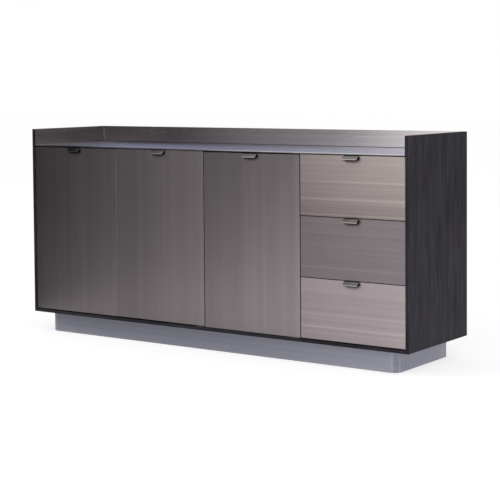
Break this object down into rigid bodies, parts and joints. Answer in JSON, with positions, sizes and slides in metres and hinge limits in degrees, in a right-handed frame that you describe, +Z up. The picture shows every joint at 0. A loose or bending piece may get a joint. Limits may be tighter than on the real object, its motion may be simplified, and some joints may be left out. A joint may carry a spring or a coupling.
{
  "type": "office credenza",
  "caption": "Low office credenza with a black oak carcass, brushed metal doors and drawers that open to the front, a raised gallery round a metal deck, and a set-back metal plinth.",
  "frame": {"origin": "on the floor under the centre of the whole piece, pulls included", "axes": "+X to the right along the width, +Y to the back, +Z up; the fronts face -Y"},
  "size_m": [1.8, 0.469, 0.854],
  "materials": {
    "black_oak": "open-grain oak veneer, stained black, matt",
    "black_board": "black melamine-faced board, matt",
    "gallery_metal": "brushed gunmetal",
    "front_metal": "brushed warm bronze-grey metal",
    "plinth_metal": "fine brushed blue-grey steel",
    "pull_metal": "brushed bent plate",
    "fitting_steel": "plain steel",
    "runner_zinc": "zinc-plated steel",
    "birch_ply": "clear-lacquered birch plywood",
    "catch_plastic": "moulded black plastic"
  },
  "bodies": {
    "carcass": {"left_side_panel": "black_oak", "right_side_panel": "black_oak", "bottom_panel": "black_oak", "back_panel": "black_oak", "top_panel": "black_board", "left_partition": "black_board", "right_partition": "black_board", "wide_shelf": "black_board", "narrow_shelf": "black_board", "deck_sheet": "gallery_metal", "left_liner": "gallery_metal", "right_liner": "gallery_metal", "back_liner": "gallery_metal", "plinth_skirt": "plinth_metal", "plinth_front_rail": "black_board", "plinth_rear_rail": "black_board", "plinth_left_rail": "black_board", "plinth_right_rail": "black_board", "left_door_upper_pivot": "fitting_steel", "left_door_lower_pivot": "fitting_steel", "left_door_catch": "catch_plastic", "middle_door_upper_pivot": "fitting_steel", "middle_door_lower_pivot": "fitting_steel", "middle_door_catch": "catch_plastic", "right_door_upper_pivot": "fitting_steel", "right_door_lower_pivot": "fitting_steel", "right_door_catch": "catch_plastic", "upper_drawer_left_runner": "runner_zinc", "upper_drawer_right_runner": "runner_zinc", "middle_drawer_left_runner": "runner_zinc", "middle_drawer_right_runner": "runner_zinc", "lower_drawer_left_runner": "runner_zinc", "lower_drawer_right_runner": "runner_zinc"},
    "left_door": {"left_door_core": "black_board", "left_door_skin": "front_metal", "left_door_pull": "pull_metal"},
    "middle_door": {"middle_door_core": "black_board", "middle_door_skin": "front_metal", "middle_door_pull": "pull_metal"},
    "right_door": {"right_door_core": "black_board", "right_door_skin": "front_metal", "right_door_pull": "pull_metal"},
    "upper_drawer": {"upper_drawer_core": "black_board", "upper_drawer_skin": "front_metal", "upper_drawer_pull": "pull_metal", "upper_drawer_box": "birch_ply", "upper_drawer_left_slide": "runner_zinc", "upper_drawer_right_slide": "runner_zinc"},
    "middle_drawer": {"middle_drawer_core": "black_board", "middle_drawer_skin": "front_metal", "middle_drawer_pull": "pull_metal", "middle_drawer_box": "birch_ply", "middle_drawer_left_slide": "runner_zinc", "middle_drawer_right_slide": "runner_zinc"},
    "lower_drawer": {"lower_drawer_core": "black_board", "lower_drawer_skin": "front_metal", "lower_drawer_pull": "pull_metal", "lower_drawer_box": "birch_ply", "lower_drawer_left_slide": "runner_zinc", "lower_drawer_right_slide": "runner_zinc"}
  },
  "joints": [
    {"name": "left_door_hinge", "type": "hinge", "parent": "carcass", "child": "left_door", "pos_m": [-0.8595, -0.2085, 0.4385], "axis": [0, 0, -1], "range_deg": [0, 90]},
    {"name": "middle_door_hinge", "type": "hinge", "parent": "carcass", "child": "middle_door", "pos_m": [-0.028, -0.2085, 0.4395], "axis": [0, 0, 1], "range_deg": [0, 90]},
    {"name": "right_door_hinge", "type": "hinge", "parent": "carcass", "child": "right_door", "pos_m": [0.416, -0.2085, 0.4365], "axis": [0, 0, 1], "range_deg": [0, 90]},
    {"name": "upper_drawer_slide", "type": "slide", "parent": "carcass", "child": "upper_drawer", "axis": [0, -1, 0], "range_m": [0, 0.28]},
    {"name": "middle_drawer_slide", "type": "slide", "parent": "carcass", "child": "middle_drawer", "axis": [0, -1, 0], "range_m": [0, 0.28]},
    {"name": "lower_drawer_slide", "type": "slide", "parent": "carcass", "child": "lower_drawer", "axis": [0, -1, 0], "range_m": [0, 0.28]}
  ]
}
